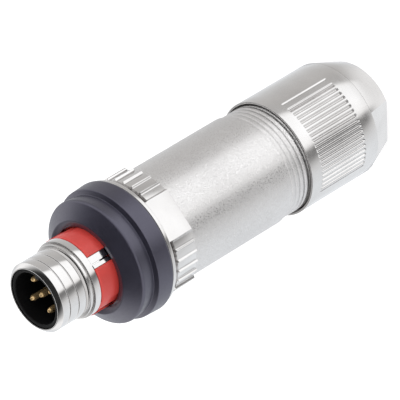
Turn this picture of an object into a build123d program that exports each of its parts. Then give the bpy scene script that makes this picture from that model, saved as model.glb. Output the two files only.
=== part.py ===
"""Field-wireable M12 cable connector, male, five contacts, with a push-on lock ring.

The connector's axis is Z. It stands on the rear end of its cap nut at z = 0,
with the contacts and the threaded sleeve at the top. Sizes are in millimetres.
"""
import os
from math import cos, radians, sin

from build123d import *

# Lengths along the axis, from the cable end to the mating face
cap_length = 21.1
exposed_thread_length = 5.0
barrel_length = 21.7
grip_length = 5.8
lock_length = 8.1
nose_length = 11.3

# Clearances, and how far a cutting shape reaches past the piece
running_gap = 0.08
fit_gap = 0.02
face_gap = 0.1
cut_margin = 1.0

# Coupling sleeve, the externally threaded metal front
thread_radius = 5.97
sleeve_wall = 0.79
rim_chamfer_depth = 0.62
rim_chamfer_length = 0.6
thread_length = 5.4
thread_groove_depth = 0.16
thread_groove_width = 0.24
thread_groove_places = (2.05, 3.9)
relief_depth = 0.22
relief_length = 0.7
bead_step = 0.39
bead_length = 0.5
bead_groove_depth = 0.24
bead_groove_length = 0.22
flange_step = 0.7
flange_length = 1.18
neck_tube_depth = 0.05
bar_count = 4
bar_width = 2.05
bar_height = 0.58
bar_root_depth = 0.3
bar_length = 4.6
bar_slot_width = 0.22
bar_slot_depth = 0.4
bar_slot_from_edge = 1.25
hub_step = 0.1
index_angle = 272.0

# Latch collar, the red plastic marker ring
collar_wall = 0.9
collar_finger_step = 0.3
collar_land_length = 0.35
collar_front_step = 0.08
collar_chamfer_length = 0.32
collar_slot_side_gap = 0.1
collar_window_depth = 0.42

# Housing shell, the smooth metal barrel with its neck and cable-side thread
neck_bore_step = 0.45
neck_wall = 1.15
neck_rear_step = 1.1
shell_bore_step = 0.1
barrel_wall = 1.4
barrel_chamfer = 0.3
cage_seat_step = 0.3
cage_seat_depth = 6.0
shell_thread_drop = 0.3
shell_relief_depth = 0.15
shell_relief_length = 1.5
shell_end_chamfer = 0.4

# Grip ring, the coarse knurled metal ring
grip_neck_step = 0.65
grip_neck_depth = 0.55
grip_neck_length = 0.6
grip_flange_step = 0.2
grip_flange_length = 1.0
grip_web_length = 2.0
grip_chamfer = 0.25
grip_land_count = 4
grip_pocket_count = 5
grip_pocket_pitch_angle = 10.1
grip_ridge_width = 0.3
grip_pocket_depth = 0.4

# Lock ring, the black plastic sleeve that slides over the collar
lock_travel = 3.2
lock_bore_gap = 0.12
lock_mouth_step = 0.23
lock_mouth_depth = 1.8
lock_lip_width = 0.25
lock_band_step = 0.35
lock_band_taper = 0.2
lock_waist_depth = 0.75
lock_shoulder_step = 0.25
lock_face_length = 2.0
lock_side_length = 2.1
lock_rise_length = 0.7
lock_corner_chamfer = 0.32
lock_rear_chamfer = 0.26

# Stop ring, a split ring of square wire that ends the lock ring's travel
stop_wire_radius = 0.35
stop_ring_height = 2.3
stop_ring_arc = 330.0

# Snap ring and slip washer between the neck and the grip ring
snap_thickness = 0.85
snap_radial_height = 0.98
snap_groove_depth = 0.45
snap_from_barrel = 0.92
snap_arc = 320.0
washer_thickness = 0.24
washer_inner_margin = 0.15
washer_outer_margin = 0.1

# Contact carrier and contacts
cup_wall = 0.6
cup_depth = 8.8
cup_setback = 0.25
key_angle = 309.0
key_width = 0.95
key_height = 0.65
key_setback = 0.15
carrier_flange_gap = 0.05
carrier_body_length = 8.6
seal_section_radius = 0.44
seal_groove_width = 1.05
seal_from_front = 2.4
contact_radius = 0.5
contact_circle_radius = 2.75
contact_circle_count = 4
contact_first_angle = 84.0
contact_setback = 1.25
contact_tip_chamfer = 0.3
contact_barrel_gap = 0.45
contact_barrel_wall = 0.45
wire_bore_depth = 4.6

# Terminal block and its clamping screws
block_length = 10.9
block_chamfer = 0.4
wire_funnel_step = 0.25
centre_contact_inset = 0.52
outer_contact_inset = 3.92
centre_screw_from_rear = 1.6
outer_screw_from_rear = 2.5
screw_radius = 0.7
screw_tip_from_axis = 0.35
screw_end_recess = 0.3
screw_slot_width = 0.3
screw_slot_depth = 0.35

# Cable side: shield ring, clamp cage, cable seal, thrust ring
shield_length = 4.2
shield_wall = 0.8
shield_slot_count = 8
shield_slot_width = 0.8
shield_slot_length = 2.8
cage_tip_gap = 0.7
cage_tip_wall = 0.5
cage_tip_length = 2.8
cage_finger_wall = 0.508
cage_finger_end_gap = 0.6
cage_slot_count = 8
cage_slot_width = 1.2
cage_ring_length = 4.0
cable_seal_wall = 2.13
cable_seal_end_gap = 0.78
cone_entry_step = 0.3
cone_edge_wall = 0.4
cone_clearance = 0.15
thrust_step_depth = 1.1
thrust_foot_depth = 1.4
thrust_head_length = 3.15
tighten_travel = 2.0
tighten_end_gap = 0.6

# Cap nut
cap_wall = 0.6
cap_chamfer = 0.25
cap_entry_radius = 4.6
cap_entry_length = 2.6
cap_entry_chamfer = 0.4
cap_taper_depth = 2.0
cap_end_length = 0.6
cap_end_chamfer = 0.35
cap_taper_length = 5.7
cap_thread_gap = 0.1
thrust_step_margin = 0.05
rib_rear_margin = 2.9
rib_front_margin = 2.2
rib_pitch_angle = 5.0
rib_groove_count = 19
rib_groups = 2
rib_centre_angle = 258.0
rib_groove_width = 0.4
rib_groove_depth = 0.3
flat_angle = 47.0
flat_half_width_angle = 30.0
flat_count = 2

# Radii that follow, from the thread outwards
rim_radius = thread_radius - rim_chamfer_depth
relief_radius = thread_radius - relief_depth
bead_radius = thread_radius + bead_step
bead_groove_radius = bead_radius - bead_groove_depth
flange_radius = thread_radius + flange_step
neck_tube_radius = thread_radius - neck_tube_depth
bar_radius = neck_tube_radius + bar_height
hub_radius = bar_radius + hub_step
sleeve_bore_radius = thread_radius - sleeve_wall
carrier_radius = sleeve_bore_radius - running_gap
cup_bore_radius = carrier_radius - cup_wall
collar_front_radius = flange_radius + collar_front_step
collar_radius = hub_radius + collar_wall
collar_finger_radius = hub_radius + collar_finger_step
neck_bore_radius = hub_radius + neck_bore_step
neck_radius = neck_bore_radius + neck_wall
shell_bore_radius = neck_radius + shell_bore_step
cage_seat_radius = shell_bore_radius + cage_seat_step
barrel_radius = shell_bore_radius + barrel_wall
shell_thread_radius = barrel_radius - shell_thread_drop
shell_relief_radius = shell_thread_radius - shell_relief_depth
cap_bore_radius = shell_thread_radius + cap_thread_gap
cap_radius = cap_bore_radius + cap_wall
cap_end_radius = cap_radius - cap_taper_depth
grip_neck_radius = barrel_radius + grip_neck_step
grip_radius = grip_neck_radius + grip_neck_depth
grip_flange_radius = grip_radius + grip_flange_step
lock_band_rear_radius = grip_flange_radius + lock_band_step
lock_band_front_radius = lock_band_rear_radius - lock_band_taper
lock_waist_radius = lock_band_front_radius - lock_waist_depth
lock_shoulder_radius = lock_waist_radius + lock_shoulder_step
lock_bore_radius = collar_radius + lock_bore_gap
lock_mouth_radius = lock_bore_radius + lock_mouth_step
contact_barrel_radius = (contact_circle_radius - contact_barrel_gap) / 2
wire_bore_radius = contact_barrel_radius - contact_barrel_wall
wire_funnel_radius = wire_bore_radius + wire_funnel_step
block_radius = shell_bore_radius - face_gap
screw_end_radius = block_radius - screw_end_recess
thrust_large_radius = cap_bore_radius - thrust_step_depth
thrust_small_radius = thrust_large_radius - thrust_foot_depth
cone_large_radius = thrust_large_radius - cone_edge_wall
cone_small_radius = cap_entry_radius + cone_entry_step
cage_radius = cage_seat_radius - face_gap
cage_tip_bore_radius = cone_small_radius - cage_tip_wall

# Heights that follow, from the cable end upwards
cap_front = cap_length
thread_front = cap_front + exposed_thread_length
barrel_front = thread_front + barrel_length
grip_rear = barrel_front + face_gap
grip_front = barrel_front + grip_length
lock_rear = grip_front + face_gap
lock_front = grip_front + lock_length
rim_height = lock_front + nose_length
web_rear = grip_front - grip_web_length
neck_front = web_rear - washer_thickness - 2 * running_gap
neck_step = barrel_front - neck_rear_step
snap_bottom = barrel_front + snap_from_barrel
snap_top = snap_bottom + snap_thickness + 2 * running_gap
flange_front = rim_height - (
    thread_length + relief_length + bead_length + bead_groove_length
)
flange_rear = flange_front - flange_length
hub_front = flange_rear - bar_length
thrust_step_height = cap_taper_length + thrust_step_margin
cone_start_height = cap_entry_length + cone_entry_step
cone_end_height = thrust_step_height + thrust_head_length
shell_rear = cone_end_height + tighten_travel + tighten_end_gap
cage_front = shell_rear + cage_seat_depth
cage_tip_height = cone_start_height + tighten_travel + cage_tip_gap
cage_tip_step_height = cage_tip_height + cage_tip_length
cage_slot_end_height = cage_front - cage_ring_length
rib_start = cap_taper_length + rib_rear_margin
rib_length = cap_front - rib_front_margin - rib_start
carrier_rear = neck_step - face_gap - carrier_body_length
block_top = carrier_rear - fit_gap
block_rear = block_top - block_length
centre_contact_rear = block_rear + centre_contact_inset
outer_contact_rear = block_rear + outer_contact_inset
centre_screw_height = centre_contact_rear + centre_screw_from_rear
outer_screw_height = outer_contact_rear + outer_screw_from_rear


def corners_at(outline, *places):
    """The outline's corners that lie nearest to the given (radius, height) places."""
    return [outline.vertices().sort_by_distance((r, z, 0))[0] for r, z in places]


def spoke(angle, height, radius=0.0):
    """A plane that looks outwards along the given direction at the given height."""
    outward = (cos(radians(angle)), sin(radians(angle)), 0)
    start = (outward[0] * radius, outward[1] * radius, height)
    return Plane(origin=start, x_dir=(0, 0, 1), z_dir=outward)


def save(piece, name):
    """Names a finished piece and writes it to its own file."""
    piece.label = name
    export_step(piece, f"parts/{name}.step")


os.makedirs("parts", exist_ok=True)

# Housing shell: barrel, front neck with the snap ring groove, rear thread spigot
snap_floor_radius = neck_radius - snap_groove_depth
with BuildPart() as housing_shell:
    with BuildSketch(Plane.XZ) as shell_outline:
        with BuildLine():
            Polyline(
                (cage_seat_radius, shell_rear),
                (shell_thread_radius, shell_rear),
                (shell_thread_radius, thread_front - shell_relief_length),
                (shell_relief_radius, thread_front - shell_relief_length),
                (shell_relief_radius, thread_front),
                (barrel_radius, thread_front),
                (barrel_radius, barrel_front),
                (neck_radius, barrel_front),
                (neck_radius, snap_bottom),
                (snap_floor_radius, snap_bottom),
                (snap_floor_radius, snap_top),
                (neck_radius, snap_top),
                (neck_radius, neck_front),
                (neck_bore_radius, neck_front),
                (neck_bore_radius, neck_step),
                (shell_bore_radius, neck_step),
                (shell_bore_radius, cage_front),
                (cage_seat_radius, cage_front),
                close=True,
            )
        make_face()
        chamfer(corners_at(shell_outline, (shell_thread_radius, shell_rear)), shell_end_chamfer)
        chamfer(
            corners_at(
                shell_outline,
                (barrel_radius, thread_front),
                (barrel_radius, barrel_front),
            ),
            barrel_chamfer,
        )
    revolve(axis=Axis.Z)
save(housing_shell.part, "housing_shell")

# Snap ring: holds the coupling on the neck and lets it turn
snap_ring_bottom = snap_bottom + running_gap
snap_ring_inner = snap_floor_radius + fit_gap
snap_ring_outer = snap_ring_inner + snap_radial_height
with BuildPart() as snap_ring:
    with BuildSketch(Plane.XZ):
        with Locations((snap_ring_inner, snap_ring_bottom)):
            Rectangle(snap_radial_height, snap_thickness, align=(Align.MIN, Align.MIN))
    revolve(axis=Axis.Z, revolution_arc=snap_arc)
save(snap_ring.part, "snap_ring")

# Slip washer between the neck's end and the grip ring's web
with BuildPart() as slip_washer:
    with BuildSketch(Plane.XY.offset(neck_front + running_gap)):
        Circle(neck_radius - washer_outer_margin)
        Circle(neck_bore_radius + washer_inner_margin, mode=Mode.SUBTRACT)
    extrude(amount=washer_thickness)
save(slip_washer.part, "slip_washer")

# Coupling sleeve: thread, bead, flange, neck tube with four bars, hub
with BuildPart() as coupling_sleeve:
    with BuildSketch(Plane.XZ) as sleeve_outline:
        with BuildLine():
            Polyline(
                (sleeve_bore_radius, rim_height),
                (rim_radius, rim_height),
                (thread_radius, rim_height - rim_chamfer_length),
                (thread_radius, rim_height - thread_length),
                (relief_radius, rim_height - thread_length),
                (relief_radius, rim_height - thread_length - relief_length),
                (bead_radius, rim_height - thread_length - relief_length),
                (bead_radius, flange_front + bead_groove_length),
                (bead_groove_radius, flange_front + bead_groove_length),
                (bead_groove_radius, flange_front),
                (flange_radius, flange_front),
                (flange_radius, flange_rear),
                (neck_tube_radius, flange_rear),
                (neck_tube_radius, hub_front),
                (hub_radius, hub_front),
                (hub_radius, web_rear),
                (sleeve_bore_radius, web_rear),
                close=True,
            )
        make_face()
        for place in thread_groove_places:
            with Locations((thread_radius, rim_height - place)):
                Rectangle(2 * thread_groove_depth, thread_groove_width, mode=Mode.SUBTRACT)
    revolve(axis=Axis.Z)
    bar_root_radius = neck_tube_radius - bar_root_depth
    with BuildSketch(Plane.XY.offset(hub_front)):
        with PolarLocations((bar_root_radius + bar_radius) / 2, bar_count, start_angle=index_angle):
            Rectangle(bar_radius - bar_root_radius, bar_width)
    extrude(amount=bar_length)
    slot_middle = bar_width / 2 - bar_slot_from_edge
    with BuildSketch(Plane.XY.offset(hub_front)):
        with PolarLocations(0, bar_count, start_angle=index_angle):
            with Locations((bar_radius, slot_middle)):
                Rectangle(2 * bar_slot_depth, bar_slot_width)
    extrude(amount=bar_length - bar_slot_width, mode=Mode.SUBTRACT)
save(coupling_sleeve.part, "coupling_sleeve")

# Latch collar: a ring on the hub with four fingers between the bars
collar_rear = grip_front + fit_gap
collar_land_front = hub_front + collar_land_length
collar_front = flange_rear - fit_gap
stop_height = lock_rear + stop_ring_height
window_bottom = stop_height - stop_wire_radius - running_gap
window_top = stop_height + lock_travel + stop_wire_radius + running_gap
stop_circle_radius = collar_radius - collar_window_depth + stop_wire_radius + fit_gap
stop_groove_width = 2 * (stop_wire_radius + fit_gap)
with BuildPart() as latch_collar:
    with BuildSketch(Plane.XZ):
        with BuildLine():
            Polyline(
                (hub_radius + fit_gap, collar_rear),
                (collar_radius, collar_rear),
                (collar_radius, window_bottom),
                (collar_radius - collar_window_depth, window_bottom),
                (collar_radius - collar_window_depth, window_top),
                (collar_radius, window_top),
                (collar_radius, collar_land_front),
                (collar_finger_radius, collar_land_front),
                (collar_finger_radius, collar_front - collar_chamfer_length),
                (collar_front_radius, collar_front),
                (neck_tube_radius + running_gap, collar_front),
                (neck_tube_radius + running_gap, hub_front + fit_gap),
                (hub_radius + fit_gap, hub_front + fit_gap),
                close=True,
            )
        make_face()
    revolve(axis=Axis.Z)
    with BuildSketch(Plane.XY.offset(hub_front + fit_gap)):
        with PolarLocations(collar_radius, bar_count, start_angle=index_angle):
            Rectangle(
                2 * (collar_radius - neck_tube_radius) + cut_margin,
                bar_width + 2 * collar_slot_side_gap,
            )
    extrude(amount=bar_length, mode=Mode.SUBTRACT)
save(latch_collar.part, "latch_collar")

# Lock ring: conical face, waist and wide rear band
lock_shoulder_height = lock_front - lock_face_length
lock_waist_height = lock_shoulder_height - lock_side_length
lock_band_height = lock_waist_height - lock_rise_length
with BuildPart() as lock_ring:
    with BuildSketch(Plane.XZ) as lock_outline:
        with BuildLine():
            Polyline(
                (lock_mouth_radius, lock_front),
                (lock_mouth_radius + lock_lip_width, lock_front),
                (lock_shoulder_radius, lock_shoulder_height),
                (lock_waist_radius, lock_waist_height),
                (lock_band_front_radius, lock_band_height),
                (lock_band_rear_radius, lock_rear),
                (lock_bore_radius, lock_rear),
                (lock_bore_radius, lock_front - lock_mouth_depth),
                (lock_mouth_radius, lock_front - lock_mouth_depth),
                close=True,
            )
        make_face()
        with Locations((stop_circle_radius, stop_height)):
            Rectangle(stop_groove_width, stop_groove_width, mode=Mode.SUBTRACT)
        chamfer(
            corners_at(lock_outline, (lock_shoulder_radius, lock_shoulder_height)),
            lock_corner_chamfer,
        )
        chamfer(corners_at(lock_outline, (lock_band_rear_radius, lock_rear)), lock_rear_chamfer)
    revolve(axis=Axis.Z)
save(lock_ring.part, "lock_ring")

# Stop ring: sits in the lock ring and runs in the collar's wide groove
with BuildPart() as stop_ring:
    with BuildSketch(Plane.XZ):
        with Locations((stop_circle_radius, stop_height)):
            Rectangle(2 * stop_wire_radius, 2 * stop_wire_radius)
    revolve(axis=Axis.Z, revolution_arc=stop_ring_arc)
save(stop_ring.part, "stop_ring")

# Grip ring: front flange, neck groove and a knurl with four smooth lands that bridge the groove
with BuildPart() as grip_ring:
    with BuildSketch(Plane.XZ) as grip_outline:
        with BuildLine():
            Polyline(
                (hub_radius + fit_gap, grip_front),
                (grip_flange_radius, grip_front),
                (grip_flange_radius, grip_front - grip_flange_length),
                (grip_neck_radius, grip_front - grip_flange_length),
                (grip_neck_radius, grip_front - grip_flange_length - grip_neck_length),
                (grip_radius, grip_front - grip_flange_length - grip_neck_length),
                (grip_radius, grip_rear),
                (neck_radius + running_gap, grip_rear),
                (neck_radius + running_gap, snap_bottom),
                (snap_ring_outer + running_gap, snap_bottom),
                (snap_ring_outer + running_gap, snap_top),
                (neck_radius + running_gap, snap_top),
                (neck_radius + running_gap, web_rear),
                (hub_radius + fit_gap, web_rear),
                close=True,
            )
        make_face()
        chamfer(
            corners_at(
                grip_outline,
                (grip_flange_radius, grip_front),
                (grip_radius, grip_front - grip_flange_length - grip_neck_length),
                (grip_radius, grip_rear),
            ),
            grip_chamfer,
        )
    revolve(axis=Axis.Z)
    knurl_length = grip_length - face_gap - grip_flange_length - grip_neck_length
    land_half_angle = (360 / grip_land_count - grip_pocket_pitch_angle * grip_pocket_count) / 2
    land_reach = grip_flange_radius + cut_margin
    land_side = (land_reach * cos(radians(land_half_angle)), land_reach * sin(radians(land_half_angle)))
    with BuildSketch(Plane.XY.offset(grip_front - grip_flange_length - grip_neck_length)):
        with PolarLocations(0, grip_land_count, start_angle=index_angle):
            Polygon((0, 0), (land_side[0], -land_side[1]), land_side, align=None)
        Circle(grip_radius, mode=Mode.INTERSECT)
        Circle(grip_neck_radius - cut_margin, mode=Mode.SUBTRACT)
    extrude(amount=grip_neck_length)
    pocket_width = radians(grip_pocket_pitch_angle) * grip_radius - grip_ridge_width
    pocket_middle = index_angle + 180 / grip_land_count
    first_pocket = pocket_middle - grip_pocket_pitch_angle * (grip_pocket_count - 1) / 2
    with BuildSketch(Plane.XY.offset(grip_rear)):
        for step in range(grip_pocket_count):
            pocket_angle = first_pocket + grip_pocket_pitch_angle * step
            with PolarLocations(grip_radius, grip_land_count, start_angle=pocket_angle):
                Rectangle(2 * grip_pocket_depth, pocket_width)
    extrude(amount=knurl_length, mode=Mode.SUBTRACT)
save(grip_ring.part, "grip_ring")

# Contact carrier: cup with a coding key, sealed flange, rear body
flange_radius_inside = neck_bore_radius - carrier_flange_gap
carrier_body_radius = shell_bore_radius - carrier_flange_gap
carrier_top = rim_height - cup_setback
cup_floor = rim_height - cup_depth
body_top = neck_step - face_gap
seal_height = neck_front - seal_from_front
seal_groove_radius = neck_bore_radius - 2 * seal_section_radius - 2 * fit_gap
contact_step_angle = 360 / contact_circle_count
contact_angles = [contact_first_angle + contact_step_angle * step for step in range(contact_circle_count)]
contact_places = [(0.0, 0.0)] + [
    (contact_circle_radius * cos(radians(angle)), contact_circle_radius * sin(radians(angle)))
    for angle in contact_angles
]
with BuildPart() as contact_carrier:
    with BuildSketch(Plane.XZ):
        with BuildLine():
            Polyline(
                (0, carrier_rear),
                (carrier_body_radius, carrier_rear),
                (carrier_body_radius, body_top),
                (flange_radius_inside, body_top),
                (flange_radius_inside, seal_height - seal_groove_width / 2),
                (seal_groove_radius, seal_height - seal_groove_width / 2),
                (seal_groove_radius, seal_height + seal_groove_width / 2),
                (flange_radius_inside, seal_height + seal_groove_width / 2),
                (flange_radius_inside, neck_front),
                (carrier_radius, neck_front),
                (carrier_radius, carrier_top),
                (cup_bore_radius, carrier_top),
                (cup_bore_radius, cup_floor),
                (0, cup_floor),
                close=True,
            )
        make_face()
    revolve(axis=Axis.Z)
    with BuildSketch(Plane.XY.offset(cup_floor)):
        with PolarLocations(cup_bore_radius, 1, start_angle=key_angle):
            Rectangle(2 * key_height, key_width)
        Circle(carrier_radius, mode=Mode.INTERSECT)
    extrude(amount=carrier_top - cup_floor - key_setback)
    with BuildSketch(Plane.XY.offset(carrier_rear)):
        with Locations(*contact_places):
            Circle(contact_radius + fit_gap)
    extrude(amount=cup_floor - carrier_rear, mode=Mode.SUBTRACT)
save(contact_carrier.part, "contact_carrier")

# Carrier seal: a square rubber ring in the carrier's flange
with BuildPart() as carrier_seal:
    with BuildSketch(Plane.XZ):
        with Locations((seal_groove_radius + seal_section_radius + fit_gap, seal_height)):
            Rectangle(2 * seal_section_radius, 2 * seal_section_radius)
    revolve(axis=Axis.Z)
save(carrier_seal.part, "carrier_seal")

# Contacts: a pin in front, a drilled barrel with a clamping screw hole behind
contact_top = rim_height - contact_setback
centre_screw_angle = contact_first_angle + contact_step_angle / 2
for number, (x, y) in enumerate(contact_places, start=1):
    is_centre = number == 1
    rear = centre_contact_rear if is_centre else outer_contact_rear
    screw_height = centre_screw_height if is_centre else outer_screw_height
    screw_angle = centre_screw_angle if is_centre else contact_angles[number - 2]
    with BuildPart() as contact_pin:
        with BuildSketch(Plane.XY.offset(rear)):
            with Locations((x, y)):
                Circle(contact_barrel_radius)
        extrude(amount=block_top - rear)
        with BuildSketch(Plane.XY.offset(block_top)):
            with Locations((x, y)):
                Circle(contact_radius)
        extrude(amount=contact_top - block_top)
        chamfer(contact_pin.edges().sort_by(Axis.Z)[-1], contact_tip_chamfer)
        with BuildSketch(Plane.XY.offset(rear)):
            with Locations((x, y)):
                Circle(wire_bore_radius)
        extrude(amount=wire_bore_depth, mode=Mode.SUBTRACT)
        hole_start = 0.0 if is_centre else contact_circle_radius
        with BuildSketch(spoke(screw_angle, screw_height, hole_start)):
            Circle(screw_radius + fit_gap)
        extrude(amount=2 * contact_barrel_radius, mode=Mode.SUBTRACT)
    save(contact_pin.part, f"contact_pin_{number}")

    with BuildPart() as terminal_screw:
        with BuildSketch(spoke(screw_angle, screw_height, hole_start + screw_tip_from_axis)):
            Circle(screw_radius)
        extrude(amount=screw_end_radius - hole_start - screw_tip_from_axis)
        with BuildSketch(spoke(screw_angle, screw_height, screw_end_radius - screw_slot_depth)):
            Rectangle(2 * screw_radius + cut_margin, screw_slot_width)
        extrude(amount=screw_slot_depth, mode=Mode.SUBTRACT)
    save(terminal_screw.part, f"terminal_screw_{number}")

# Terminal block: holds the contact barrels, with wire holes and screw holes
with BuildPart() as terminal_block:
    with BuildSketch(Plane.XY.offset(block_rear)):
        Circle(block_radius)
    extrude(amount=block_length)
    chamfer(terminal_block.edges().group_by(Axis.Z)[0], block_chamfer)
    with BuildSketch(Plane.XY.offset(block_rear)):
        with Locations(*contact_places):
            Circle(wire_funnel_radius)
    extrude(amount=block_length, mode=Mode.SUBTRACT)
    with BuildSketch(Plane.XY.offset(outer_contact_rear)):
        with Locations(*contact_places[1:]):
            Circle(contact_barrel_radius + fit_gap)
    extrude(amount=block_top - outer_contact_rear, mode=Mode.SUBTRACT)
    with BuildSketch(Plane.XY.offset(centre_contact_rear)):
        Circle(contact_barrel_radius + fit_gap)
    extrude(amount=block_top - centre_contact_rear, mode=Mode.SUBTRACT)
    for angle in contact_angles:
        with BuildSketch(spoke(angle, outer_screw_height, contact_circle_radius)):
            Circle(screw_radius + fit_gap)
        extrude(amount=block_radius, mode=Mode.SUBTRACT)
    with BuildSketch(spoke(centre_screw_angle, centre_screw_height)):
        Circle(screw_radius + fit_gap)
    extrude(amount=block_radius + fit_gap, mode=Mode.SUBTRACT)
save(terminal_block.part, "terminal_block")

# Shield ring: slotted contact ring between the cable's screen and the shell
shield_radius = shell_bore_radius - fit_gap
with BuildPart() as shield_ring:
    with BuildSketch(Plane.XY.offset(cage_front + face_gap)):
        Circle(shield_radius)
        Circle(shield_radius - shield_wall, mode=Mode.SUBTRACT)
    extrude(amount=shield_length)
    with BuildSketch(Plane.XY.offset(cage_front + face_gap + shield_length - shield_slot_length)):
        with PolarLocations(shield_radius, shield_slot_count):
            Rectangle(4 * shield_wall, shield_slot_width)
    extrude(amount=shield_slot_length, mode=Mode.SUBTRACT)
save(shield_ring.part, "shield_ring")

# Clamp cage: slotted fingers that the thrust ring presses inwards
cone_slope = (cone_large_radius - cone_small_radius) / (cone_end_height - cone_start_height)


def finger_radius(height):
    """The cage's outer radius, clear of the thrust ring's cone when the cap is tight."""
    return cone_small_radius + (height - tighten_travel - cone_start_height) * cone_slope - cone_clearance


finger_top = shell_rear - cage_finger_end_gap
cage_bore_radius = finger_radius(cage_tip_step_height) - cage_finger_wall
with BuildPart() as clamp_cage:
    with BuildSketch(Plane.XZ):
        with BuildLine():
            Polyline(
                (cage_tip_bore_radius, cage_tip_height),
                (finger_radius(cage_tip_height), cage_tip_height),
                (finger_radius(finger_top), finger_top),
                (cage_radius, shell_rear + face_gap),
                (cage_radius, cage_front - fit_gap),
                (cage_bore_radius, cage_front - fit_gap),
                (cage_bore_radius, cage_tip_step_height),
                (cage_tip_bore_radius, cage_tip_step_height),
                close=True,
            )
        make_face()
    revolve(axis=Axis.Z)
    with BuildSketch(Plane.XY.offset(cage_tip_height)):
        with PolarLocations(cage_radius, cage_slot_count):
            Rectangle(2 * (cage_radius - cage_tip_bore_radius + cut_margin), cage_slot_width)
    extrude(amount=cage_slot_end_height - cage_tip_height, mode=Mode.SUBTRACT)
save(clamp_cage.part, "clamp_cage")

# Cable seal: a rubber tube inside the cage
cable_seal_outer_radius = cage_bore_radius - fit_gap
cable_seal_rear = cage_tip_step_height + fit_gap
cable_seal_length = cage_front - cable_seal_end_gap - cable_seal_rear
with BuildPart() as cable_seal:
    with BuildSketch(Plane.XY.offset(cable_seal_rear)):
        Circle(cable_seal_outer_radius)
        Circle(cable_seal_outer_radius - cable_seal_wall, mode=Mode.SUBTRACT)
    extrude(amount=cable_seal_length)
save(cable_seal.part, "cable_seal")

# Thrust ring: slides with the cap nut and presses on the cage's fingers
with BuildPart() as thrust_ring:
    with BuildSketch(Plane.XZ):
        with BuildLine():
            Polyline(
                (cone_small_radius, cap_entry_length + fit_gap),
                (thrust_small_radius - running_gap, cap_entry_length + fit_gap),
                (thrust_small_radius - running_gap, thrust_step_height + fit_gap),
                (thrust_large_radius - running_gap, thrust_step_height + fit_gap),
                (thrust_large_radius - running_gap, cone_end_height),
                (cone_large_radius, cone_end_height),
                (cone_small_radius, cone_start_height),
                close=True,
            )
        make_face()
    revolve(axis=Axis.Z)
save(thrust_ring.part, "thrust_ring")

# Cap nut: ribbed band, tapered end with two flats, cable entry
taper_slope = (cap_radius - cap_end_radius) / (cap_taper_length - cap_end_length)
with BuildPart() as cap_nut:
    with BuildSketch(Plane.XZ) as cap_outline:
        with BuildLine():
            Polyline(
                (cap_entry_radius, 0),
                (cap_end_radius - cap_end_length * taper_slope, 0),
                (cap_radius, cap_taper_length),
                (cap_radius, cap_front),
                (cap_bore_radius, cap_front),
                (cap_bore_radius, cone_end_height + fit_gap),
                (thrust_large_radius, cone_end_height + fit_gap),
                (thrust_large_radius, thrust_step_height),
                (thrust_small_radius, thrust_step_height),
                (thrust_small_radius, cap_entry_length),
                (cap_entry_radius, cap_entry_length),
                close=True,
            )
        make_face()
        chamfer(corners_at(cap_outline, (cap_radius, cap_front)), cap_chamfer)
        chamfer(corners_at(cap_outline, (cap_entry_radius, 0)), cap_entry_chamfer)
        chamfer(
            corners_at(cap_outline, (cap_end_radius - cap_end_length * taper_slope, 0)),
            cap_end_chamfer,
        )
    revolve(axis=Axis.Z)
    flat_at_top = cap_radius * cos(radians(flat_half_width_angle))
    flat_drop = (cap_taper_length + cut_margin) * taper_slope * cos(radians(flat_half_width_angle))
    for step in range(flat_count):
        turned = Plane.XZ.rotated((0, 0, flat_angle + 360 * step / flat_count))
        with BuildSketch(turned):
            with BuildLine():
                Polyline(
                    (flat_at_top, cap_taper_length),
                    (cap_radius + cut_margin, cap_taper_length),
                    (cap_radius + cut_margin, -cut_margin),
                    (flat_at_top - flat_drop, -cut_margin),
                    close=True,
                )
            make_face()
        extrude(amount=cap_radius, both=True, mode=Mode.SUBTRACT)
    first_rib = rib_centre_angle - rib_pitch_angle * (rib_groove_count - 1) / 2
    with BuildSketch(Plane.XY.offset(rib_start)):
        for step in range(rib_groove_count):
            rib_angle = first_rib + rib_pitch_angle * step
            with PolarLocations(cap_radius, rib_groups, start_angle=rib_angle):
                Rectangle(2 * rib_groove_depth, rib_groove_width)
    extrude(amount=rib_length, mode=Mode.SUBTRACT)
save(cap_nut.part, "cap_nut")
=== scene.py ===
"""A field-wireable M12 cable plug, dressed around its fixed construction frame.

The file is laid out as an add-on: sizes and finishes are properties, and each piece has
an operator. Run as a script, it makes every piece, the studio and the camera.
"""
from math import atan2, cos, degrees, pi, radians, sin

import bmesh
import bpy
from bpy.props import FloatProperty, FloatVectorProperty, IntProperty, PointerProperty
from bpy.types import NodeSocket, Operator, Panel, PropertyGroup
from mathutils import Matrix, Vector


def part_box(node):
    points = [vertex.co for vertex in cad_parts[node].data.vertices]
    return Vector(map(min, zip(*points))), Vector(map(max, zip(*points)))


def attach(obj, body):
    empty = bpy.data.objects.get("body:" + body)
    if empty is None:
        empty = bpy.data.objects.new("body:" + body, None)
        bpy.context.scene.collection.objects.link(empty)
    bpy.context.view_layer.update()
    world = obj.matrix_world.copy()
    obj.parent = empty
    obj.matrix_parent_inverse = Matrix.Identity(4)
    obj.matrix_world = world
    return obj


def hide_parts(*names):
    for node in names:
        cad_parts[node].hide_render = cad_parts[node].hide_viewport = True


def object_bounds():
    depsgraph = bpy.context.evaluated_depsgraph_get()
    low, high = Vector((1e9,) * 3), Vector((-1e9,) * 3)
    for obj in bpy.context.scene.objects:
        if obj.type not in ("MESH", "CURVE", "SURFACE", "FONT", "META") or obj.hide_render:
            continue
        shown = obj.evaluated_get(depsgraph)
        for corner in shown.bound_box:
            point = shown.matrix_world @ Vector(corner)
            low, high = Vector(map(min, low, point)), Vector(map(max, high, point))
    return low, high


bl_info = {
    "name": "Cable Plug Dresser",
    "version": (1, 0, 0),
    "blender": (4, 5, 0),
    "location": "3D View > Sidebar > Plug",
    "description": "Builds the finished pieces of a round cable plug around its frame",
    "category": "Object",
}

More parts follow.
